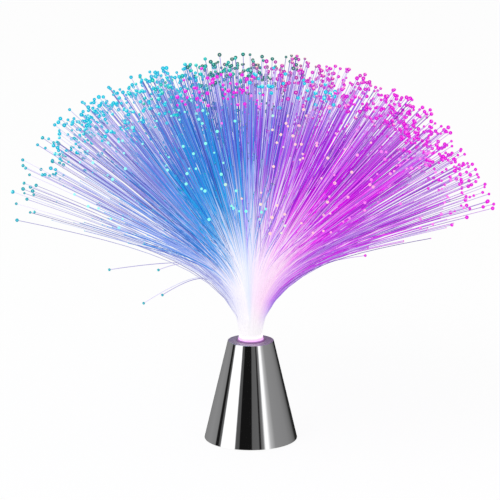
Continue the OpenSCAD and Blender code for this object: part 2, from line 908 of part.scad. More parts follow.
// A sector of the spray: its strands stand in a slice of the glued bundle
module fibre_sector(k) {
    color(FIBRE) {
        rotate([0, 0, sector_angle * (k - 1)])
            rotate_extrude(angle = sector_angle)
                translate([0, plug_z]) square([bundle_d / 2, root_z - plug_z]);
        for (q = [1 : RINGS], j = [0 : q - 1]) ring_strand(k, q, j);
    }
}

// ---------------------------------------------------------------- nodes

cone_shell();
fibre_collar();
bundle_sleeve();
light_housing();
led_board();
for (i = [1 : 3])
    led(i);
control_chip();
chip_resistors();
board_screws();
housing_screws();
base_plate();
base_screws();
foot_ring();
battery_door();
for (i = [1 : 3])
    battery_cell(i);
contact_negative();
contact_bridge_1();
contact_bridge_2();
contact_positive();
switch_frame();
switch_base();
switch_knob();
switch_screws();
wire_negative();
wire_positive();
wire_switched();
for (k = [1 : SECTORS])
    fibre_sector(k);
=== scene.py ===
# %% [markdown]
# # A fibre optic lamp
#
# The lamp is a mirror-bright cone that hides a light, a short clear collar on top of it, and a dome
# of fine acrylic fibres that carry the light to bright tips. The solid parts come from the CAD model,
# which is loaded first and never changed. This script dresses them: it makes the chrome smooth,
# grows the spray of fibres, and gives every part a material of its own.

import math

import bmesh
import bpy
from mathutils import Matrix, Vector


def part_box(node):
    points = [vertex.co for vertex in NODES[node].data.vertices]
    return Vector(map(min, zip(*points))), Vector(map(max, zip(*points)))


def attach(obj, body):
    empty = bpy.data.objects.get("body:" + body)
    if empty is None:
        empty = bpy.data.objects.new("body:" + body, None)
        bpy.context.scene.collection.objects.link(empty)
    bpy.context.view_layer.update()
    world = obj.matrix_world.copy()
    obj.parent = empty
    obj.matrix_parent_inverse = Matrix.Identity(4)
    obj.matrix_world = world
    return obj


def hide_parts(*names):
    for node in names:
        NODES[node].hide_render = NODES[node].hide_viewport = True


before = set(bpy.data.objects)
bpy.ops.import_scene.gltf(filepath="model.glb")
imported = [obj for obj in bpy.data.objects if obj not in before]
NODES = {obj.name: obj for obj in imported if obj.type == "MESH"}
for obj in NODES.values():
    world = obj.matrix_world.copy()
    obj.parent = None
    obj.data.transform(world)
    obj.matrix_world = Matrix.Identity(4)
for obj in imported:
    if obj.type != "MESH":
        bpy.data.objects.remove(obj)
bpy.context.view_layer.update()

# %% [markdown]
# ## The view
#
# The lamp was photographed from a little above with a long lens, so its rims are flat ellipses and
# its sides hardly converge. A camera is only a place, a direction and a lens. Here it stands over two
# metres away and looks down by thirteen degrees, and the lens is chosen so that the spray of fibres
# just fills the picture.

# %% Camera
CAMERA_PLACE = Vector((-0.0007, -2.2, 0.6735))
LOOKS_DOWN = math.radians(13.08)
LENS_MM = 195.8
SENSOR_MM = 36.0


def add_object(name, data):
    """Makes an object of some data and puts it in the scene."""
    made = bpy.data.objects.new(name, data)
    bpy.context.scene.collection.objects.link(made)
    return made


camera_data = bpy.data.cameras.new("camera")
camera_data.lens = LENS_MM
camera_data.sensor_width = SENSOR_MM
camera = add_object("camera", camera_data)
camera.location = CAMERA_PLACE
camera.rotation_euler = (math.radians(90) - LOOKS_DOWN, 0, 0)
bpy.context.scene.camera = camera
bpy.context.scene.view_settings.view_transform = "Standard"
print("camera", tuple(camera.location), "lens", LENS_MM)

# %% [markdown]
# ## Adding nodes
#
# A material is a small machine of nodes and links, and so is the tree that will grow the fibres. Each
# node has settings, and each of its sockets takes a value or what another node puts out. Typed in full
# that is a line for each, so a small class does it: it works on one tree, adds a node and feeds its
# sockets.

# %% Adding nodes
class Wiring:
    """Adds nodes to one tree and feeds their sockets."""

    def __init__(self, tree):
        self.tree = tree

    def feed(self, socket, value):
        """Puts a number, a word, a vector, a colour or another node's output on a socket."""
        if isinstance(value, (int, float, str)):
            socket.default_value = value
        elif isinstance(value, tuple):
            socket.default_value = value + (1,) * (len(socket.default_value) - len(value))
        else:
            self.tree.links.new(value, socket)

    def give(self, node, **sockets):
        """Feeds the sockets of a node by their names."""
        for name, value in sockets.items():
            self.feed(node.inputs[name.replace("_", " ")], value)

    def add(self, kind, *values, **settings):
        """A new node: values go on its first sockets, and a setting with a capital on its own socket."""
        node = self.tree.nodes.new(kind)
        for name, value in settings.items():
            if name[0].islower():
                setattr(node, name, value)
        for socket, value in zip(node.inputs, values):
            self.feed(socket, value)
        self.give(node, **{name: value for name, value in settings.items() if name[0].isupper()})
        return node


print("wiring ready")

# %% [markdown]
# ## Sums, blends and ramps
#
# Four kinds of node come up in nearly every tree: a sum, the three parts of a vector, a ramp, which
# turns a number into a colour, and a blend of two colours. They get short names, so that a line of
# this script reads like the sum that it stands for.

# %% Sums, blends and ramps
class Nodes(Wiring):
    """Short names for the nodes that come up most."""

    def math(self, operation, *values):
        return self.add("ShaderNodeMath", *values, operation=operation).outputs[0]

    def split(self, vector):
        return self.add("ShaderNodeSeparateXYZ", vector).outputs

    def ramp(self, value, stops):
        """A colour that changes with a value. Where a stop has one number, its colour is that grey."""
        node = self.add("ShaderNodeValToRGB", value)
        elements = node.color_ramp.elements
        while len(elements) < len(stops):
            elements.new(0.5)
        for element, (place, colour) in zip(elements, stops):
            element.position = place
            element.color = (*colour, 1) if isinstance(colour, tuple) else (colour, colour, colour, 1)
        return node.outputs["Color"]

    def mix(self, amount, first, second, mode="MIX", kind="RGBA"):
        """Blends two colours or, with the kind FLOAT, two numbers."""
        node = self.add("ShaderNodeMix", data_type=kind, blend_type=mode)
        first_place, second_place, result = {"RGBA": (6, 7, 2), "FLOAT": (2, 3, 0)}[kind]
        for place, value in ((0, amount), (first_place, first), (second_place, second)):
            self.feed(node.inputs[place], value)
        return node.outputs[result]


print("sums, blends and ramps ready")

# %% [markdown]
# ## The studio
#
# Chrome has no look of its own: it shows the room. The bright and dark stripes down the cone are a
# white soft box to the left, a narrower one to the right, and black cards between them. They could be
# real cards round the lamp, or they can be written into the world as a ring of tones that only
# mirror-like rays see. The second way is used, because it throws no stray shadow and keeps the light
# on everything else plain. The tones are given by their direction round the lamp, in degrees from the
# front, with plus to the right.

# %% Bare trees and direct rays
def bare_tree(owner):
    """Empties the node tree of a world or a material, for one that is built from nothing."""
    owner.use_nodes = True
    for node in list(owner.node_tree.nodes):
        owner.node_tree.nodes.remove(node)
    return Nodes(owner.node_tree)


def seen_directly(nodes):
    """1 for rays that come from the camera, also through a clear piece, and 0 for all others."""
    path = nodes.add("ShaderNodeLightPath").outputs
    return nodes.math("MAXIMUM", path["Is Camera Ray"], path["Is Transmission Ray"])


print("bare trees ready")

# %% World
SOFT_BOXES = [
    (-180, 0.03), (-172, 0.05), (-164, 0.24), (-120, 0.28), (-98, 0.24), (-95.5, 0.01), (-87, 0.01),
    (-85.5, 0.10), (-80, 0.15), (-78.5, 1.22), (-40.5, 1.22), (-39, 0.10), (-29.5, 0.09),
    (-28, 0.008), (2, 0.008), (4, 0.12), (20.5, 0.13), (22, 0.01), (25, 0.01),
    (27, 0.14), (33, 0.24), (37, 1.2), (44, 1.2), (51, 0.55), (64, 0.28),
    (104, 0.25), (122, 0.20), (136, 0.12), (144, 0.02), (180, 0.02),
]
PLAIN_LIGHT = (0.72, 0.72, 0.72)
WHITE = (1.0, 1.0, 1.0)

world = bpy.data.worlds.new("studio")
bpy.context.scene.world = world
sky = bare_tree(world)
to_right, to_back, _ = sky.split(sky.add("ShaderNodeTexCoord").outputs["Generated"])
bearing = sky.math("ARCTAN2", to_right, sky.math("MULTIPLY", to_back, -1.0))
turn = sky.math("MULTIPLY_ADD", bearing, 0.5 / math.pi, 0.5)
tones = sky.ramp(turn, [((angle + 180) / 360, tone) for angle, tone in SOFT_BOXES])
plain = sky.mix(seen_directly(sky), PLAIN_LIGHT, WHITE)
mirrored = sky.mix(sky.add("ShaderNodeLightPath").outputs["Is Glossy Ray"], plain, tones)
background = sky.add("ShaderNodeBackground", Color=mirrored)
sky.add("ShaderNodeOutputWorld", Surface=background.outputs[0])
print("studio tones:", len(SOFT_BOXES))

# %% [markdown]
# ## Floor and lamp light
#
# The floor is plain and pale. To the camera it is almost pure white, yet it keeps a soft shadow under
# the lamp, so its shader is mostly a white glow with a share of ordinary matt white. Mirror rays pass
# through it to the studio's tones, so that the stripes run down the chrome to the rim without a break.
# One large soft lamp from above and the left gives the shadow its side.

# %% Floor
FLOOR_RADIUS = 9.0
FLOOR_SIDES = 96
FLOOR_WHITE = (0.96, 0.96, 0.96)
GLOW_SHARE = 0.93


def piece_from(shape, name):
    """Turns a shape that was drawn with bmesh into an object in the scene."""
    mesh = bpy.data.meshes.new(name)
    shape.to_mesh(mesh)
    shape.free()
    return add_object(name, mesh)


shape = bmesh.new()
bmesh.ops.create_circle(shape, cap_ends=True, radius=FLOOR_RADIUS, segments=FLOOR_SIDES)
floor = piece_from(shape, "floor")
floor_material = bpy.data.materials.new("floor_white")
m = bare_tree(floor_material)
matt = m.add("ShaderNodeBsdfDiffuse", Color=FLOOR_WHITE)
glow = m.add("ShaderNodeEmission")
share = m.math("MULTIPLY", seen_directly(m), GLOW_SHARE)
lit = m.add("ShaderNodeMixShader", share, matt.outputs[0], glow.outputs[0])
m.add("ShaderNodeOutputMaterial", Surface=lit.outputs[0])
floor.data.materials.append(floor_material)
floor.visible_glossy = False
print("floor radius", FLOOR_RADIUS)

# %% Soft lamp
KEY_WATTS = 26.0
KEY_SIZE = 1.6
KEY_PLACE = Vector((-1.1, -1.3, 2.1))
KEY_AIM = Vector((0, 0, 0.12))

key_data = bpy.data.lights.new("soft_lamp", "AREA")
key_data.shape = "DISK"
key_data.size = KEY_SIZE
key_data.energy = KEY_WATTS
key = add_object("soft_lamp", key_data)
key.location = KEY_PLACE
key.rotation_euler = (KEY_AIM - KEY_PLACE).to_track_quat("-Z", "Y").to_euler()
key.visible_glossy = False
key.visible_camera = False
print("soft lamp", KEY_WATTS, "W")

# %% [markdown]
# ## Chrome shell
#
# The cone is a moulding with a vacuum-chromed skin. The CAD mesh has flat facets, and a mirror shows
# each of them, so the shell is a copy whose doubled corners are merged and whose faces are shaded
# smooth, with the crisp edges kept by their angle. The copy stands for the CAD node. The flat top is
# rougher and less metallic than the sides, and its purple-grey colour is painted: a painted reflection
# of the spray's dark underside and of the collar's pink, with painted shade.

# %% Smooth copies of CAD parts
CRISP_EDGE = math.radians(32)
SAME_CORNER = 2e-6


def smooth_copy(node, name):
    """A copy of a CAD part's mesh, merged and shaded smooth, that stands for the part."""
    mesh = NODES[node].data.copy()
    mesh.name = name
    mesh.materials.clear()
    shape = bmesh.new()
    shape.from_mesh(mesh)
    bmesh.ops.remove_doubles(shape, verts=shape.verts, dist=SAME_CORNER)
    for face in shape.faces:
        face.smooth = True
    for edge in shape.edges:
        edge.smooth = len(edge.link_faces) == 2 and edge.calc_face_angle(0) < CRISP_EDGE
    shape.to_mesh(mesh)
    shape.free()
    if mesh.attributes.get("custom_normal"):
        mesh.attributes.remove(mesh.attributes["custom_normal"])
    return add_object(name, mesh)


def dress(piece, material, body, slot, *nodes):
    """Gives a new piece its material, its body and the CAD nodes it stands for. The slot is not used."""
    if material:
        piece.data.materials.clear()
        piece.data.materials.append(material)
    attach(piece, body)
    if nodes:
        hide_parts(*nodes)
    print(piece.name, len(piece.data.polygons), "faces on", body)


print("smooth copies ready")

# %% Materials and their textures
def new_material(name, colour, roughness, **sockets):
    """A material, the helper for its nodes, and its main shader."""
    material = bpy.data.materials.new(name)
    material.use_nodes = True
    nodes = Nodes(material.node_tree)
    shader = material.node_tree.nodes["Principled BSDF"]
    nodes.give(shader, Base_Color=colour, Roughness=roughness, **sockets)
    return material, nodes, shader


def place_on(nodes):
    """Where on the object a point is."""
    return nodes.add("ShaderNodeTexCoord").outputs["Object"]


def noise(nodes, where, scale, detail=2.0):
    return nodes.add("ShaderNodeTexNoise", Vector=where, Scale=scale, Detail=detail).outputs["Fac"]


def eased(nodes, value, low, high, at_low=0.0, at_high=1.0):
    """One number where the value is low, another where it is high, and a smooth step between.

    Ranges that are named in the cells below hold these four numbers, or only low and high.
    """
    return nodes.add("ShaderNodeMapRange", value, low, high, at_low, at_high,
                     interpolation_type="SMOOTHSTEP").outputs[0]


print("material helpers ready")

# %% Chrome
CHROME = (0.86, 0.86, 0.87)
WIPE_MARKS = 26.0
# The top's purple-grey is a painted reflection of the spray and the collar, with painted shade.
TOP_PAINTED_REFLECTION = (0.42, 0.36, 0.44)
TOP_ROUGHNESS = (0.50, 0.50, 0.50)
TOP_LESS_METAL = -0.55
FACES_UP = (0.80, 0.97)

chrome, m, shader = new_material("vacuum_chrome", CHROME, 0.03, Metallic=1.0)
haze = m.ramp(noise(m, place_on(m), WIPE_MARKS, 4.0), [(0.42, 0.018), (0.72, 0.075)])
normal = m.add("ShaderNodeNewGeometry").outputs["Normal"]
# Faces that point up get a painted reflection of the spray and collar, with painted shade, as their colour.
top_with_painted_reflection = eased(m, m.split(normal)["Z"], *FACES_UP)
m.give(shader, Roughness=m.mix(top_with_painted_reflection, haze, TOP_ROUGHNESS), Base_Color=m.mix(top_with_painted_reflection, CHROME, TOP_PAINTED_REFLECTION),
       Metallic=m.math("MULTIPLY_ADD", top_with_painted_reflection, TOP_LESS_METAL, 1.0))
dress(smooth_copy("cone_shell", "chrome_cone"), chrome, "base", "chrome", "cone_shell")

# %% [markdown]
# ## Clear collar
#
# The collar is a turned ring of clear acrylic. It stands over the light, so it fills with a pink glow.
# At its foot, where it goes down into the cone, a dark line is painted: painted shade in the gap at the
# rim of the hole. A real volume of glass would be slow and noisy at this size, so the ring has a glossy
# pink surface with a glow of its own.

# %% Collar
COLLAR_FOOT = 0.0850
COLLAR_TOP = 0.0895

collar_material, m, shader = new_material(
    "glowing_acrylic", (0.93, 0.45, 0.93), 0.12, Coat_Weight=0.25, Emission_Strength=0.70)
foot_to_top = m.add("ShaderNodeMapRange", m.split(place_on(m))["Z"], COLLAR_FOOT, COLLAR_TOP).outputs[0]
# From the foot up: painted shade where the ring sits in the cone's hole, then the pink glow, white at the
# top.
glow_and_painted_foot_shade = m.ramp(foot_to_top, [
    (0.0, (0.16, 0.07, 0.18)), (0.22, (0.24, 0.11, 0.27)), (0.32, (0.80, 0.44, 0.84)),
    (0.62, (0.93, 0.53, 0.95)), (0.92, (1.0, 0.94, 1.0))])
m.give(shader, Base_Color=glow_and_painted_foot_shade, Emission_Color=glow_and_painted_foot_shade)
dress(smooth_copy("fibre_collar", "clear_collar"), collar_material, "collar", "collar", "fibre_collar")

# %% [markdown]
# ## How the fibres stand
#
# Two and a half thousand fibres leave the collar as one tight bundle, and each bends away from the
# axis until its own weight has turned it as far as it goes. One rule fits them all: the lean grows
# quickly at first and then levels off, and a fibre from the rim of the bundle leans more than one from
# its middle. That is a job for Geometry Nodes. The tree lays a row of points for each fibre, works out
# the small step from each point to the next, and adds the steps up along the fibre. Its inputs are the
# sizes, and a fixed seed makes each run the same.

# %% Inputs of the fibre tree
FIBRE_INPUTS = {
    "Int": {"Fibres": 2500, "Points": 13, "Seed": 7},
    "Float": {
        "Longest": 0.2412, "Shortest share": 0.78, "Bundle radius": 0.0083, "Root height": 0.0872,
        "Spread": math.radians(77), "Front lift": 0.105, "Lean jitter": math.radians(3),
        "Rim shortening": 0.030, "Shoulder": 0.030, "Sideways bend": math.radians(9),
        "Bend length": 0.052, "Fibre radius": 0.00028, "Bead radius": 0.00180, "Tuft scale": 7.0,
        "Tuft lean": math.radians(16), "Tuft turn": math.radians(22), "Tuft length share": 0.5,
        "Brushed off the left": 0.90, "Brushed off the right": 0.62, "Brushed round": math.radians(-66)},
    "Bool": {"Make beads": False},
    "Material": {"Material": None},
}

fibre_tree = bpy.data.node_groups.new("grow_fibres", "GeometryNodeTree")
fibre_tree.interface.new_socket("Geometry", in_out="OUTPUT", socket_type="NodeSocketGeometry")
SOCKET_OF = {}
for kind, inputs in FIBRE_INPUTS.items():
    for name, value in inputs.items():
        socket = fibre_tree.interface.new_socket(name, in_out="INPUT", socket_type="NodeSocket" + kind)
        if value is not None:
            socket.default_value = value
        SOCKET_OF[name] = socket.identifier
f = Nodes(fibre_tree)
given = f.add("NodeGroupInput").outputs
print("fibre tree inputs:", len(SOCKET_OF))

# %% [markdown]
# ## The tree that grows the fibres
#
# The points are numbered from the root of the first fibre to the tip of the last. The whole part of
# the number divided by the points in a fibre tells which fibre a point is on, and the rest tells how
# far along it is. The roots are laid out by the golden angle, as the seeds of a sunflower are, which
# packs them evenly. On the left and on the right, low down, most fibres have been brushed round
# towards the back, which leaves those sides thin. A slow noise over the bundle makes tufts: what
# stands together leans, turns and ends alike.

# %% Places and directions
def vector(nodes, x, y, z):
    return nodes.add("ShaderNodeCombineXYZ", x, y, z).outputs[0]


def vector_math(nodes, operation, *vectors):
    """A sum on vectors. What comes out is a vector, or a number under the name Value."""
    return nodes.add("ShaderNodeVectorMath", *vectors, operation=operation).outputs


def right_and_back(nodes, distance, bearing):
    """How far to the right and to the back a point is that lies at a distance on a bearing."""
    return [nodes.math("MULTIPLY", distance, nodes.math(side, bearing)) for side in ("COSINE", "SINE")]


print("places and directions ready")

# %% Roots
GOLDEN_ANGLE = math.pi * (3 - math.sqrt(5))
ROOT_JITTER = 0.05
LEFT_THINS = (-0.56, -0.82)
RIGHT_THINS = (0.70, 0.90)
DRAWS = {"root": 1, "length": 2, "lean": 3, "bend": 4, "chance": 5, "size": 6, "brushed": 8}


def drawn(name, low, high):
    """A number between two others that each fibre draws for itself."""
    draw = f.add("FunctionNodeRandomValue", data_type="FLOAT", ID=fibre,
                 Seed=f.math("ADD", given["Seed"], DRAWS[name]))
    f.feed(draw.inputs[2], low)
    f.feed(draw.inputs[3], high)
    return draw.outputs[1]


points = f.add("GeometryNodePoints", Count=f.math("MULTIPLY", given["Fibres"], given["Points"]))
number = f.add("GeometryNodeInputIndex").outputs[0]
fibre = f.math("FLOOR", f.math("DIVIDE", f.math("ADD", number, 0.5), given["Points"]))
place = f.math("SUBTRACT", number, f.math("MULTIPLY", fibre, given["Points"]))
steps = f.math("SUBTRACT", given["Points"], 1.0)
along = f.math("DIVIDE", place, steps)

share = f.math("DIVIDE", f.math("ADD", fibre, 0.5), given["Fibres"])
outwards = f.math("SQRT", share)
even_bearing = f.math("MULTIPLY", fibre, GOLDEN_ANGLE)
even_bearing = f.math("ADD", even_bearing, drawn("root", -ROOT_JITTER, ROOT_JITTER))
to_right, _ = right_and_back(f, outwards, even_bearing)
draw = drawn("brushed", 0, 1)
off_left, off_right = [
    f.math("LESS_THAN", draw, f.math("MULTIPLY", eased(f, to_right, *thins), given[share_of]))
    for thins, share_of in ((LEFT_THINS, "Brushed off the left"), (RIGHT_THINS, "Brushed off the right"))]
brushed = f.math("SUBTRACT", off_left, off_right)
bearing = f.math("MULTIPLY_ADD", brushed, given["Brushed round"], even_bearing)
to_right, to_back = right_and_back(f, outwards, bearing)
print("roots by the golden angle")

# %% Lengths and leans
TUFT_SLICE = 0.37
TUFT_ENDS = (0.34, 0.66, 0.50, 1.0)
LENGTH_SKEW = 0.42
RIM_POWER = 3.0
SHOULDER_PEAK = 6.75

tufts = f.add("ShaderNodeTexNoise", Scale=given["Tuft scale"], Detail=0.0,
              Vector=vector(f, to_right, to_back, TUFT_SLICE)).outputs
tuft_lean, tuft_turn, tuft_glow = [f.math("SUBTRACT", channel, 0.5) for channel in f.split(tufts["Color"])]
tuft_length = eased(f, tufts["Fac"], *TUFT_ENDS)
own_length = f.math("POWER", drawn("length", 0, 1), LENGTH_SKEW)
long_share = f.math("MULTIPLY_ADD", f.math("SUBTRACT", tuft_length, own_length),
                    given["Tuft length share"], own_length)
length = f.math("MULTIPLY", given["Longest"], f.math(
    "ADD", given["Shortest share"],
    f.math("MULTIPLY", f.math("SUBTRACT", 1.0, given["Shortest share"]), long_share)))
shorter = f.math("MULTIPLY", given["Rim shortening"], f.math("POWER", share, RIM_POWER))
bump = f.math("MULTIPLY", f.math("MULTIPLY", share, share),
              f.math("SUBTRACT", SHOULDER_PEAK, f.math("MULTIPLY", share, SHOULDER_PEAK)))
longer = f.math("MULTIPLY_ADD", given["Shoulder"], bump, 1.0)
length = f.math("MULTIPLY", length, f.math("SUBTRACT", longer, shorter))
lifted = f.math("SUBTRACT", 1.0, f.math(
    "MULTIPLY", given["Front lift"], f.math("ABSOLUTE", f.math("SINE", bearing))))
most_lean = f.math("ADD", f.math("MULTIPLY", f.math("MULTIPLY", outwards, given["Spread"]), lifted),
                   f.math("MULTIPLY", given["Lean jitter"], drawn("lean", -1, 1)))
most_lean = f.math("MULTIPLY_ADD", tuft_lean, given["Tuft lean"], most_lean)
drift = f.math("MULTIPLY_ADD", tuft_turn, given["Tuft turn"],
               f.math("MULTIPLY", given["Sideways bend"], drawn("bend", -1, 1)))
print("each tuft leans, turns and ends alike")

# %% Steps along each fibre
step = f.math("DIVIDE", length, steps)
half_way = f.math("MULTIPLY", f.math("ADD", place, 0.5), step)
unbent = f.math("EXPONENT", f.math("DIVIDE", f.math("MULTIPLY", half_way, -1.0), given["Bend length"]))
lean = f.math("MULTIPLY", most_lean, f.math("SUBTRACT", 1.0, unbent))
heading = f.math("ADD", bearing, f.math("MULTIPLY", drift, along))
sideways = right_and_back(f, f.math("MULTIPLY", f.math("SINE", lean), step), heading)
move = vector(f, *sideways, f.math("MULTIPLY", f.math("COSINE", lean), step))
adder = f.add("GeometryNodeAccumulateField", data_type="FLOAT_VECTOR", domain="POINT",
              Value=move, Group_ID=fibre)
root_radius = f.math("MULTIPLY", outwards, given["Bundle radius"])
root = vector(f, *right_and_back(f, root_radius, bearing), given["Root height"])
reached = vector_math(f, "ADD", root, adder.outputs["Trailing"])[0]
placed = f.add("GeometryNodeSetPosition", Geometry=points.outputs[0], Position=reached)
print("each fibre is a sum of small steps")

# %% [markdown]
# ## What the fibres keep
#
# Four values stay on the mesh for the two materials. They say how far along its fibre a point is,
# whether the fibre's end is one of the lit ones, which way the fibre leans together with a chance
# number of its own, and which way it points there. Towards the front fewer ends are lit, in clumps,
# and the beads of the others are small.

# %% Values kept for the materials
FRONT = -0.3
UNLIT_FRONT = 0.77
UNLIT_REST = 0.52
LIT_CLUMPS = 1.3
LIT_CHANCE = 11.7


def another_chance(nodes, chance, factor):
    """One more number from 0 to 1 out of a fibre's chance number."""
    return nodes.math("FRACT", nodes.math("MULTIPLY", chance, factor))


chance = drawn("chance", 0, 1)
in_front = f.math("LESS_THAN", to_back, FRONT)
more_unlit = f.math("MULTIPLY_ADD", tuft_glow, -LIT_CLUMPS, UNLIT_FRONT - UNLIT_REST)
unlit_share = f.math("MULTIPLY_ADD", in_front, more_unlit, UNLIT_REST)
lit = f.math("GREATER_THAN", another_chance(f, chance, LIT_CHANCE), unlit_share)
kept = placed.outputs[0]
for name, kind, value in (
        ("along", "FLOAT", along), ("lit", "FLOAT", lit),
        ("leaning", "FLOAT_VECTOR", vector(f, to_right, to_back, chance)),
        ("points_to", "FLOAT_VECTOR", vector_math(f, "NORMALIZE", move)[0])):
    kept = f.add("GeometryNodeStoreNamedAttribute", data_type=kind, domain="POINT",
                 Geometry=kept, Name=name, Value=value).outputs["Geometry"]
print("kept: along, lit, leaning, points_to")

# %% Strands and beads
FIBRE_SIDES = 3
BEAD_SIDES = 8
BEAD_RINGS = 5
LAST_POINT = 0.999
SMALLEST_BEAD = 0.62
FRONT_BEADS = (-0.24, -0.42, 1.0, 0.26)
LIT_SCALE = 0.74

strands = f.add("GeometryNodePointsToCurves", Points=kept, Curve_Group_ID=fibre, Weight=place)
round_wire = f.add("GeometryNodeCurvePrimitiveCircle", mode="RADIUS", Resolution=FIBRE_SIDES,
                   Radius=given["Fibre radius"])
tubes = f.add("GeometryNodeCurveToMesh", Curve=strands.outputs[0], Profile_Curve=round_wire.outputs[0],
              Fill_Caps=True)
bead = f.add("GeometryNodeMeshUVSphere", Segments=BEAD_SIDES, Rings=BEAD_RINGS, Radius=given["Bead radius"])
front_size = f.math("MAXIMUM", eased(f, to_back, *FRONT_BEADS), f.math("MULTIPLY", lit, LIT_SCALE))
beads = f.add("GeometryNodeInstanceOnPoints", Points=kept, Instance=bead.outputs[0],
              Selection=f.math("GREATER_THAN", along, LAST_POINT),
              Scale=f.math("MULTIPLY", drawn("size", SMALLEST_BEAD, 1.0), front_size))
pick = f.add("GeometryNodeSwitch", input_type="GEOMETRY", Switch=given["Make beads"])
f.give(pick, **{"False": tubes.outputs[0], "True": beads.outputs["Instances"]})
solid = f.add("GeometryNodeRealizeInstances", pick.outputs[0])
smooth = f.add("GeometryNodeSetShadeSmooth", solid.outputs[0])
painted = f.add("GeometryNodeSetMaterial", Geometry=smooth.outputs[0], Material=given["Material"])
f.add("NodeGroupOutput", painted.outputs[0])
print("tree nodes:", len(fibre_tree.nodes))


# %% Grow a piece from a tree
def grow(name, node_tree, sockets, **values):
    """Runs a Geometry Nodes tree on an empty mesh and keeps the result as a plain mesh."""
    seedling = add_object(name + "_tree", bpy.data.meshes.new(name + "_tree"))
    modifier = seedling.modifiers.new("grow", "NODES")
    modifier.node_group = node_tree
    for key, value in values.items():
        modifier[sockets[key.replace("_", " ")]] = value
    graph = bpy.context.evaluated_depsgraph_get()
    mesh = bpy.data.meshes.new_from_object(seedling.evaluated_get(graph), depsgraph=graph)
    mesh.name = name
    bpy.data.objects.remove(seedling)
    return add_object(name, mesh)


print("grow ready")

# %% [markdown]
# ## Colour in the fibres
#
# Each fibre takes its colour from where its root stands over the lights: blue and azure to the left,
# violet in the middle and magenta to the right. Near the collar all of them are so bright that they
# look white and pink, and how far this glow reaches differs from fibre to fibre. Further out some of
# the clear acrylic shows as a pale lavender between the coloured fibres, and some pale, near white
# fibres are painted highlights. The material reads the values that the tree kept, so the colours
# belong to the fibres and stay with them from every side.

# %% What both fibre materials read
ACRYLIC_IOR = 1.49


def kept_value(nodes, name):
    """A value that the fibres' mesh carries."""
    return nodes.add("ShaderNodeAttribute", attribute_type="GEOMETRY", attribute_name=name).outputs


def leaning_of(nodes):
    """How far a fibre leans right and back, its chance number, and its place from the left, 0 to 1."""
    across, deep, chance = nodes.split(kept_value(nodes, "leaning")["Vector"])
    return across, deep, chance, nodes.math("MULTIPLY_ADD", across, 0.5, 0.5)


def chance_about(nodes, chance, middle, width):
    """A number that lies by chance round a middle."""
    return nodes.math("MULTIPLY_ADD", nodes.math("SUBTRACT", chance, 0.5), width, middle)


print("fibre values ready")

# %% Hues along the fibres
HUES_MIX_LEFT = 0.04
HUES_MIX_MORE = 0.16
UPRIGHT = (-0.45, -0.12)
OUTER_PART = (0.48, 0.72)

fibre_material, m, shader = new_material(
    "lit_acrylic_fibre", (0.6, 0.55, 0.9), 0.24, IOR=ACRYLIC_IOR, Specular_IOR_Level=0.25,
    Emission_Strength=0.70)
across, deep, chance, from_left = leaning_of(m)
far = kept_value(m, "along")["Fac"]
upright = eased(m, deep, *UPRIGHT)
mixed = chance_about(m, chance, from_left, m.math("MULTIPLY_ADD", from_left, HUES_MIX_MORE, HUES_MIX_LEFT))
hues = m.ramp(mixed, [
    (0.00, (0.76, 0.78, 0.88)), (0.10, (0.66, 0.70, 0.90)), (0.18, (0.46, 0.53, 0.88)),
    (0.24, (0.25, 0.37, 0.84)), (0.31, (0.0, 0.28, 0.76)), (0.39, (0.0, 0.36, 0.74)),
    (0.46, (0.0, 0.34, 0.78)), (0.51, (0.22, 0.20, 0.82)), (0.55, (0.60, 0.10, 0.82)),
    (0.62, (0.50, 0.02, 0.80)), (0.69, (0.88, 0.0, 0.84)), (0.79, (0.68, 0.0, 0.78)),
    (0.87, (0.40, 0.10, 0.72)), (1.00, (0.66, 0.44, 0.84))])
far_hues = m.ramp(mixed, [
    (0.00, (0.50, 0.46, 0.72)), (0.14, (0.32, 0.24, 0.70)), (0.26, (0.20, 0.20, 0.70)),
    (0.36, (0.02, 0.20, 0.68)), (0.45, (0.12, 0.12, 0.74)), (0.52, (0.17, 0.10, 0.72)),
    (0.60, (0.22, 0.06, 0.74)), (0.70, (0.42, 0.02, 0.76)), (0.80, (0.64, 0.0, 0.74)),
    (0.90, (0.40, 0.05, 0.70)), (1.00, (0.50, 0.16, 0.72))])
outer_share = m.math("MULTIPLY", eased(m, far, *OUTER_PART), upright)
hue = m.mix(outer_share, hues, far_hues)
print("hues from blue on the left to magenta on the right")

# %% Pale fibres, painted highlights and darker fibres
SECOND_CHANCE = 7.31
THIRD_CHANCE = 23.7
CLEAR_END = (0.62, 1.0, 0.0, 0.62)
CLEAR_FIRST = 2.4
CLEAR_ACRYLIC = (0.76, 0.70, 0.93)

second_chance = another_chance(m, chance, SECOND_CHANCE)
clear_end = m.math("MULTIPLY", eased(m, far, *CLEAR_END), upright)
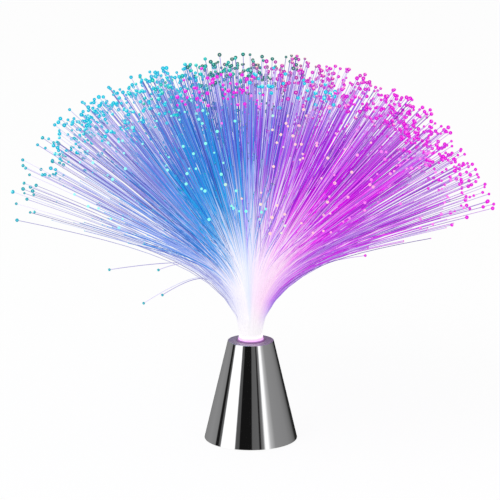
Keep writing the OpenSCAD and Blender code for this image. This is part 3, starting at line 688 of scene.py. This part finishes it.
# Pale fibres: further out the clear acrylic, and, by chance, near white fibres that are painted highlights.
pale_and_highlight_share = m.ramp(m.math("ADD", second_chance, clear_end), [
    (0.50, 0.0), (0.80, 0.16), (0.88, 0.52), (1.0, 0.76)])
pale_side = m.ramp(from_left, [
    (0.0, 1.3), (0.24, 1.2), (0.34, 0.40), (0.46, 0.50), (0.56, 1.0), (0.66, 0.85), (0.78, 0.50),
    (1.0, 0.60)])
pale_and_highlight_hues = m.ramp(from_left, [
    (0.0, (0.74, 0.74, 0.92)), (0.30, (0.56, 0.70, 0.96)), (0.48, (0.50, 0.72, 0.98)),
    (0.62, (0.86, 0.66, 0.98))])
pale = m.mix(m.math("MINIMUM", m.math("MULTIPLY", clear_end, CLEAR_FIRST), 1.0), pale_and_highlight_hues, CLEAR_ACRYLIC)
shade = m.ramp(another_chance(m, chance, THIRD_CHANCE), [
    (0.0, (0.24, 0.22, 0.48)), (0.20, (0.62, 0.60, 0.84)), (0.5, (1.0, 1.0, 1.05)),
    (0.95, (1.16, 1.16, 1.14))])
body_colour = m.mix(1.0, m.mix(m.math("MULTIPLY", pale_and_highlight_share, pale_side), hue, pale), shade, "MULTIPLY")
print("some fibres paler, some darker")

# %% Glow near the collar
GLOW_MIDDLE = 0.06
SIDE_REACH = (0.10, 0.86, 0.67, 0.21)
FRONT_REACH = (0.0, -0.7, 1.0, 1.5)
OWN_REACH_LEAST = 0.7
OWN_REACH_MORE = 0.6
FULL_GLOW = 0.40
WHITE_ROOT = (0.02, 0.20, 1.0, 0.0)
FIBRE_DIM = (0.34, 0.34, 0.34)

flank = m.math("ABSOLUTE", m.math("SUBTRACT", across, GLOW_MIDDLE))
warm_side = m.ramp(from_left, [(0.26, 1.0), (0.34, 0.84), (0.43, 0.88), (0.50, 0.98)])
side_reach = m.math("MULTIPLY", eased(m, flank, *SIDE_REACH), warm_side)
own_reach = m.math("MULTIPLY", m.math("MULTIPLY", side_reach, eased(m, deep, *FRONT_REACH)),
                   m.math("MULTIPLY_ADD", second_chance, OWN_REACH_MORE, OWN_REACH_LEAST))
near_root = eased(m, far, m.math("MULTIPLY", own_reach, FULL_GLOW), own_reach, 1.0, 0.0)
glow_hue = m.ramp(from_left, [
    (0.0, (0.56, 0.60, 0.90)), (0.10, (0.80, 0.80, 0.98)), (0.26, (0.90, 0.88, 1.0)),
    (0.40, (0.98, 0.94, 1.0)), (0.47, (0.80, 0.86, 1.0)), (0.54, (1.0, 0.86, 1.0)),
    (0.72, (1.0, 0.74, 0.96)), (0.86, (0.72, 0.34, 0.95)), (0.94, (0.34, 0.12, 0.82)),
    (1.0, (0.24, 0.09, 0.74))])
glow = m.mix(eased(m, far, *WHITE_ROOT), glow_hue, (1.0, 0.97, 1.0))
lit_colour = m.mix(near_root, body_colour, glow)
m.give(shader, Base_Color=m.mix(1.0, lit_colour, FIBRE_DIM, "MULTIPLY"), Emission_Color=lit_colour)

spray_strands = grow("fibre_strands", fibre_tree, SOCKET_OF, Material=fibre_material)
dress(spray_strands, None, "spray", "fibre", *[f"fibre_sector_{k}" for k in range(1, 10)])

# %% [markdown]
# ## Bright tips
#
# At the cut end of a fibre all of its light comes out at once, and the end has swollen to a clear bead
# where it was cut hot. A bead is a ring of deep colour with a paler middle, as light is in a drop of
# glass, and this ring and middle are painted light: a painted refraction in the bead's colour. Where
# its fibre's end is lit, the side that the fibre points to is pale and bright, and towards the front the
# whole bead is. Each bead is a small ball with a few dozen faces. Five patches of the dome take a
# colour from elsewhere, such as magenta among the cyan.

# %% Bead material
PATCHES = [
    # right, back, radius, and the place from the left whose colour the patch takes
    (-0.09, -0.25, 0.17, 0.95), (0.06, -0.20, 0.08, 0.31), (0.27, -0.16, 0.09, 0.31),
    (-0.03, -0.39, 0.09, 0.95), (-0.45, 0.30, 0.25, 0.20),
]
TIP_MIX = 0.14
END_SIDE = (0.42, 0.80)
# The paler middle of each bead is painted refraction: light seen through a clear ball.
PAINTED_LIT_MIDDLE = (0.02, 0.10, 0.60, 0.0)
BEAD_DIM = (0.25, 0.25, 0.25)

bead_material, m, shader = new_material(
    "glowing_tip", (0.9, 0.9, 1.0), 0.25, IOR=ACRYLIC_IOR, Specular_IOR_Level=0.08, Emission_Strength=0.86)
across, deep, chance, from_left = leaning_of(m)
on_plan = vector(m, across, deep, 0.0)
shift = chance_about(m, chance, from_left, TIP_MIX)
for right, back, radius, tone in PATCHES:
    apart = vector_math(m, "DISTANCE", on_plan, (right, back, 0.0))["Value"]
    shift = m.mix(m.math("LESS_THAN", apart, radius), shift, tone, kind="FLOAT")
rims = m.ramp(shift, [
    (0.04, (0.01, 0.34, 0.42)), (0.18, (0.0, 0.46, 0.66)), (0.32, (0.0, 0.56, 0.76)),
    (0.40, (0.0, 0.46, 0.42)), (0.45, (0.01, 0.17, 0.15)), (0.52, (0.03, 0.16, 0.15)),
    (0.56, (0.54, 0.0, 0.46)), (0.70, (0.72, 0.0, 0.64)), (0.92, (0.78, 0.0, 0.70))])
middles = m.ramp(shift, [
    (0.20, (0.34, 0.92, 0.92)), (0.47, (0.26, 0.97, 0.80)), (0.53, (1.0, 0.70, 0.62)),
    (0.64, (1.0, 0.60, 0.66)), (0.74, (0.96, 0.22, 0.86))])
normal = m.add("ShaderNodeNewGeometry").outputs["Normal"]
towards = vector_math(m, "DOT_PRODUCT", normal, kept_value(m, "points_to")["Vector"])["Value"]
bright_share = m.math("MAXIMUM", eased(m, towards, *END_SIDE), m.math("LESS_THAN", deep, FRONT))
end_lit = m.math("MULTIPLY", bright_share, kept_value(m, "lit")["Fac"])
# Layer Weight paints a clear ball's light into the colour: pale in the middle, deep colour towards the rim.
rim = m.add("ShaderNodeLayerWeight", Blend=0.5).outputs["Facing"]
painted_middle_share = eased(m, rim, *PAINTED_LIT_MIDDLE)
ring = m.mix(m.math("MAXIMUM", end_lit, painted_middle_share), rims, middles)
m.give(shader, Base_Color=m.mix(1.0, ring, BEAD_DIM, "MULTIPLY"), Emission_Color=ring)

spray_tips = grow("fibre_tips", fibre_tree, SOCKET_OF, Material=bead_material, Make_beads=True)
dress(spray_tips, None, "spray", "fibre")

# %% [markdown]
# ## Stray fibres
#
# A few fibres have slipped out of the dome: four droop below it on the left, and two reach out on the
# right. They lean like the rest and then turn down where they were once bent, so a short loop that
# walks along each of them is enough. Each is drawn as a thin tube with a bead, and it keeps the same
# four values, so it takes the same two materials.

# %% Stray fibres
STRAYS = [
    # bearing, lean, distance at which it is bent down, bend, length; degrees and metres
    (180.0, 59.2, 0.0655, 43.1, 0.1497), (184.0, 71.3, 0.0779, 51.5, 0.1057),
    (176.0, 70.7, 0.0557, 60.2, 0.1192), (188.0, 71.2, 0.0576, 60.2, 0.1010),
    (352.0, 74.5, 0.0797, 13.3, 0.1237), (348.0, 68.9, 0.0739, 10.5, 0.1308),
]
STRAY_ROOT_RADIUS = 0.0078
STRAY_ROOT_HEIGHT = 0.0876
BEND_LENGTH = FIBRE_INPUTS["Float"]["Bend length"]
KINK_LENGTH = 0.008
STEPS = 24


def stray_path(bearing, lean, bent_at, bend, length):
    """Points along one fibre from the rim of the bundle: it leans like the rest and is then bent down."""
    heading = Vector((math.cos(math.radians(bearing)), math.sin(math.radians(bearing)), 0))
    point = heading * STRAY_ROOT_RADIUS + Vector((0, 0, STRAY_ROOT_HEIGHT))
    path = [point.copy()]
    for step in range(STEPS):
        distance = (step + 0.5) * length / STEPS
        turned = lean * (1 - math.exp(-distance / BEND_LENGTH))
        turned += bend * (1 - math.exp(-max(0.0, distance - bent_at) / KINK_LENGTH))
        turned = math.radians(turned)
        point += (heading * math.sin(turned) + Vector((0, 0, math.cos(turned)))) * (length / STEPS)
        path.append(point.copy())
    return path


print("stray fibres:", len(STRAYS))

# %% Stray pieces
STRAY_RADIUS = 0.00030
STRAY_SIDES = 4
STRAY_BEAD = 0.0012
STRAY_OUTWARDS = 0.95
FIRST_CHANCE = 0.31
NEXT_CHANCE = 0.11


def keep_values(mesh, along, leaning, points_to):
    """Writes the four values that the fibre materials read, one for each corner point."""
    for name, numbers in (("along", along), ("lit", [1.0] * len(along))):
        mesh.attributes.new(name, "FLOAT", "POINT").data.foreach_set("value", numbers)
    for name, vectors in (("leaning", leaning), ("points_to", points_to)):
        flat = [number for vector in vectors for number in vector]
        mesh.attributes.new(name, "FLOAT_VECTOR", "POINT").data.foreach_set("vector", flat)


def stray_pieces():
    """One mesh of thin tubes and one of beads, for all stray fibres."""
    tubes, balls = bmesh.new(), bmesh.new()
    tube_values, ball_values = [], []
    for number, stray in enumerate(STRAYS):
        path = stray_path(*stray)
        bearing = math.radians(stray[0])
        side = Vector((-math.sin(bearing), math.cos(bearing), 0))
        chance = FIRST_CHANCE + NEXT_CHANCE * number
        leaning = Vector((side.y * STRAY_OUTWARDS, -side.x * STRAY_OUTWARDS, chance))
        rings = []
        for step, point in enumerate(path):
            ahead = (path[min(step + 1, STEPS)] - path[max(step - 1, 0)]).normalized()
            up = side.cross(ahead)
            ring = []
            for corner in range(STRAY_SIDES):
                turn = math.tau * corner / STRAY_SIDES
                out = side * math.cos(turn) + up * math.sin(turn)
                ring.append(tubes.verts.new(point + STRAY_RADIUS * out))
                tube_values.append((step / STEPS, leaning, ahead))
            for corner in range(STRAY_SIDES):
                if rings:
                    tubes.faces.new((rings[-1][corner], rings[-1][corner - STRAY_SIDES + 1],
                                     ring[corner - STRAY_SIDES + 1], ring[corner]))
            rings.append(ring)
        tubes.faces.new(reversed(rings[0]))
        tubes.faces.new(rings[-1])
        ball = bmesh.ops.create_uvsphere(
            balls, u_segments=BEAD_SIDES, v_segments=BEAD_RINGS, radius=STRAY_BEAD)
        for corner in ball["verts"]:
            corner.co += path[-1]
            ball_values.append((1.0, leaning, ahead))
    pieces = []
    for name, shape, values in (("stray_strands", tubes, tube_values), ("stray_tips", balls, ball_values)):
        for face in shape.faces:
            face.smooth = True
        bmesh.ops.recalc_face_normals(shape, faces=shape.faces)
        piece = piece_from(shape, name)
        keep_values(piece.data, *zip(*values))
        pieces.append(piece)
    return pieces


strands_out, tips_out = stray_pieces()
dress(strands_out, fibre_material, "spray", "fibre")
dress(tips_out, bead_material, "spray", "fibre")

# %% [markdown]
# ## Glued bundle
#
# Below the collar the fibres are glued side by side into one rod, and its lower face is cut and
# polished to drink in the light. The rod is turned from a profile, as on a lathe. Its end shows the cut
# fibres as a pattern of small round cells, which a Voronoi texture draws, and the rod glows a little of
# its own: painted light for the light that it carries.

# %% Bundle
BUNDLE_RADIUS = 0.00885
BUNDLE_LOW = 0.0640
BUNDLE_TOP = 0.0880
BUNDLE_ROUND = 0.0004
BUNDLE_SIDES = 72
CUT_ENDS_SCALE = 1650.0


def lathe(name, profile, segments):
    """Turns a list of (radius, height) points round the axis; it starts and ends on the axis."""
    shape = bmesh.new()
    rings = []
    for radius, height in profile:
        angles = [math.tau * k / segments for k in range(segments if radius else 1)]
        rings.append([shape.verts.new((radius * math.cos(a), radius * math.sin(a), height)) for a in angles])
    for low, high in zip(rings, rings[1:]):
        for k in range(segments):
            corners = [low[k % len(low)], low[(k + 1) % len(low)],
                       high[(k + 1) % len(high)], high[k % len(high)]]
            shape.faces.new(dict.fromkeys(corners)).smooth = True
    bmesh.ops.recalc_face_normals(shape, faces=shape.faces)
    return piece_from(shape, name)


# The rod's glow is painted light for the light that the fibres carry up from below.
bundle_material, m, shader = new_material(
    "glued_fibre_ends", (0.9, 0.85, 0.95), 0.18, Emission_Strength=0.35)
cells = m.add("ShaderNodeTexVoronoi", feature="F1", Scale=CUT_ENDS_SCALE, Vector=place_on(m))
ends = m.ramp(cells.outputs["Distance"], [(0.30, (1.0, 0.94, 1.0)), (0.62, (0.62, 0.48, 0.72))])
m.give(shader, Base_Color=ends, Emission_Color=ends)
bundle = lathe("glued_bundle", [
    (0, BUNDLE_LOW), (BUNDLE_RADIUS - BUNDLE_ROUND, BUNDLE_LOW), (BUNDLE_RADIUS, BUNDLE_LOW + BUNDLE_ROUND),
    (BUNDLE_RADIUS, BUNDLE_TOP - BUNDLE_ROUND), (BUNDLE_RADIUS - BUNDLE_ROUND, BUNDLE_TOP),
    (0, BUNDLE_TOP)], BUNDLE_SIDES)
dress(bundle, bundle_material, "spray", "fibre")

# %% [markdown]
# ## Moulded plastics and rubber
#
# The parts under the cone are seen only when the lamp is tipped or its door is open. Moulded plastic
# carries the texture of its mould: a fine spark-eroded grain on the black parts, a finer one on the
# white. A noise texture in the bump gives the grain, and a slow noise in the roughness gives the worn,
# handled look. The foam foot has open pores, which come from a Voronoi texture.

# %% Grainy materials
WEAR_SCALE = 55.0
WEAR_DETAIL = 3.0
GRAIN_STRENGTH = 0.6
DARKER = 0.86
LIGHTER = 1.12


def bumps(nodes, height, strength, distance):
    return nodes.add("ShaderNodeBump", Strength=strength, Distance=distance, Height=height).outputs[0]


def grainy(name, colour, roughness, grain, depth, spread=0.10, texture="ShaderNodeTexNoise", **sockets):
    """A moulded material: a fine grain in the bump and a slow change in colour and roughness."""
    material, m, shader = new_material(name, colour, roughness, **sockets)
    place = place_on(m)
    fine = m.add(texture, Scale=grain, Vector=place)
    height = fine.outputs["Distance" if "Voronoi" in texture else "Fac"]
    slow = noise(m, place, WEAR_SCALE, WEAR_DETAIL)
    darker = tuple(c * DARKER for c in colour)
    lighter = tuple(min(1, c * LIGHTER) for c in colour)
    m.give(shader, Normal=bumps(m, height, GRAIN_STRENGTH, depth),
           Roughness=m.ramp(slow, [(0.3, roughness - spread), (0.7, roughness + spread)]),
           Base_Color=m.ramp(slow, [(0.35, darker), (0.65, lighter)]))
    return material


def clothe(material, *nodes):
    """Gives CAD nodes a material in place of the plain one."""
    for node in nodes:
        mesh = NODES[node].data
        mesh.materials.clear()
        mesh.materials.append(material)
    print(material.name, "on", ", ".join(nodes))


clothe(grainy("black_moulding", (0.024, 0.024, 0.027), 0.52, 2600, 0.00006), "base_plate", "battery_door")
clothe(grainy("white_moulding", (0.80, 0.80, 0.77), 0.45, 3200, 0.00003), "light_housing")
clothe(grainy("foam_rubber", (0.050, 0.050, 0.054), 0.88, 1700, 0.00020, texture="ShaderNodeTexVoronoi"),
       "foot_ring")
clothe(grainy("epoxy_chip", (0.030, 0.030, 0.034), 0.46, 5200, 0.00002), "control_chip", "chip_resistors")
clothe(grainy("nylon_knob", (0.78, 0.78, 0.75), 0.32, 2400, 0.00002), "switch_knob")

# %% [markdown]
# ## Metals
#
# Drawn and stamped metal has fine lines along the way it was pulled. A noise that is stretched in one
# direction gives these lines to the roughness and, very faintly, to the bump. The screws are zinc
# plated, the contacts nickel plated and brighter, and the sleeve is plain drawn aluminium.

# %% Drawn metals
LINE_SCALE = 900.0
LINE_DETAIL = 3.0
LINE_STRENGTH = 0.25
LINE_DEPTH = 0.00002


def drawn_metal(name, colour, roughness, stretch):
    """Bare metal whose fine lines run along the axis with the smallest stretch."""
    material, m, shader = new_material(name, colour, roughness, Metallic=1.0)
    pulled = m.add("ShaderNodeMapping", Scale=stretch, Vector=place_on(m)).outputs[0]
    lines = noise(m, pulled, LINE_SCALE, LINE_DETAIL)
    m.give(shader, Normal=bumps(m, lines, LINE_STRENGTH, LINE_DEPTH),
           Roughness=m.ramp(lines, [(0.3, roughness * 0.7), (0.7, roughness * 1.35)]))
    return material


clothe(drawn_metal("drawn_aluminium", (0.80, 0.81, 0.82), 0.26, (1, 1, 0.04)), "bundle_sleeve")
clothe(drawn_metal("nickel_spring", (0.78, 0.77, 0.73), 0.20, (0.1, 1, 1)),
       "contact_negative", "contact_bridge_1", "contact_bridge_2", "contact_positive")
clothe(drawn_metal("zinc_plate", (0.66, 0.68, 0.72), 0.30, (1, 1, 1)),
       "base_screws", "board_screws", "housing_screws", "switch_screws")
clothe(drawn_metal("stamped_frame", (0.70, 0.71, 0.72), 0.28, (0.06, 1, 1)), "switch_frame")

# %% [markdown]
# ## Circuit board, switch board and wires
#
# The board is fibreglass under a green lacquer, and its copper tracks show through as paler lines.
# Tracks that run straight and turn in steps look like the joints of a brick wall, so a brick texture
# draws them. The switch stands on brown laminated paper, and the wires have a smooth glossy skin.

# %% Board and laminate
board_material, m, shader = new_material("green_lacquer", (0.02, 0.16, 0.06), 0.28, Coat_Weight=0.5)
tracks = m.add("ShaderNodeTexBrick", Vector=place_on(m), Scale=260.0, Mortar_Size=0.035, Brick_Width=0.9,
               Row_Height=0.34, Color1=(0.012, 0.120, 0.045), Color2=(0.016, 0.150, 0.055),
               Mortar=(0.060, 0.300, 0.110))
m.give(shader, Base_Color=tracks.outputs["Color"])
clothe(board_material, "led_board")

laminate, m, shader = new_material("paper_laminate", (0.30, 0.17, 0.08), 0.42)
layers = noise(m, m.add("ShaderNodeMapping", Scale=(0.3, 1, 6), Vector=place_on(m)).outputs[0], 420.0)
m.give(shader, Base_Color=m.ramp(layers, [(0.35, (0.20, 0.10, 0.045)), (0.65, (0.38, 0.23, 0.11))]))
clothe(laminate, "switch_base")

# %% Wires
WIRE_COLOURS = {"wire_negative": (0.02, 0.02, 0.022), "wire_positive": (0.52, 0.02, 0.015),
                "wire_switched": (0.74, 0.50, 0.03)}
for node, colour in WIRE_COLOURS.items():
    clothe(grainy(node + "_skin", colour, 0.26, 700, 0.00003, spread=0.06, Coat_Weight=0.3), node)

# %% [markdown]
# ## Lights and cells
#
# The three lights are clear epoxy domes, each with its own colour behind it, which is where the blue,
# magenta and azure of the fibres come from. The cells are steel cans in a shrunk plastic sleeve: the
# sleeve is dark and glossy with one grey band, and the bare metal shows at both ends. The place along
# the cell decides which of the two is seen.

# %% Lights
LIGHT_COLOURS = {"led_1": (0.10, 0.35, 1.0), "led_2": (1.0, 0.05, 0.75), "led_3": (0.05, 0.75, 1.0)}
for node, colour in LIGHT_COLOURS.items():
    epoxy, m, shader = new_material(node + "_epoxy", colour, 0.06, IOR=1.54, Emission_Strength=0.55,
                                    Transmission_Weight=0.35)
    paler = tuple(0.5 + 0.5 * c for c in colour)
    rim = m.add("ShaderNodeLayerWeight", Blend=0.35).outputs["Facing"]
    core = m.ramp(rim, [(0.0, paler), (0.6, colour)])
    m.give(shader, Base_Color=core, Emission_Color=core)
    clothe(epoxy, node)

# %% Cells
SLEEVE = (0.050, 0.055, 0.066)
BAND = (0.42, 0.43, 0.45)
BARE_METAL = (0.70, 0.70, 0.69)

low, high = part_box("battery_cell_1")
can, m, shader = new_material("sleeved_cell", (0.08, 0.09, 0.11), 0.22, Coat_Weight=0.4)
from_middle = m.math("ABSOLUTE", m.math("SUBTRACT", m.split(place_on(m))["X"], (low.x + high.x) / 2))
share = m.math("DIVIDE", from_middle, (high.x - low.x) / 2)
bare = m.ramp(share, [(0.930, 0.0), (0.938, 1.0)])
banded = m.ramp(share, [
    (0.0, (0.045, 0.050, 0.060)), (0.55, SLEEVE), (0.56, BAND), (0.60, BAND), (0.61, SLEEVE)])
m.give(shader, Base_Color=m.mix(bare, banded, BARE_METAL), Metallic=bare)
clothe(can, "battery_cell_1", "battery_cell_2", "battery_cell_3")
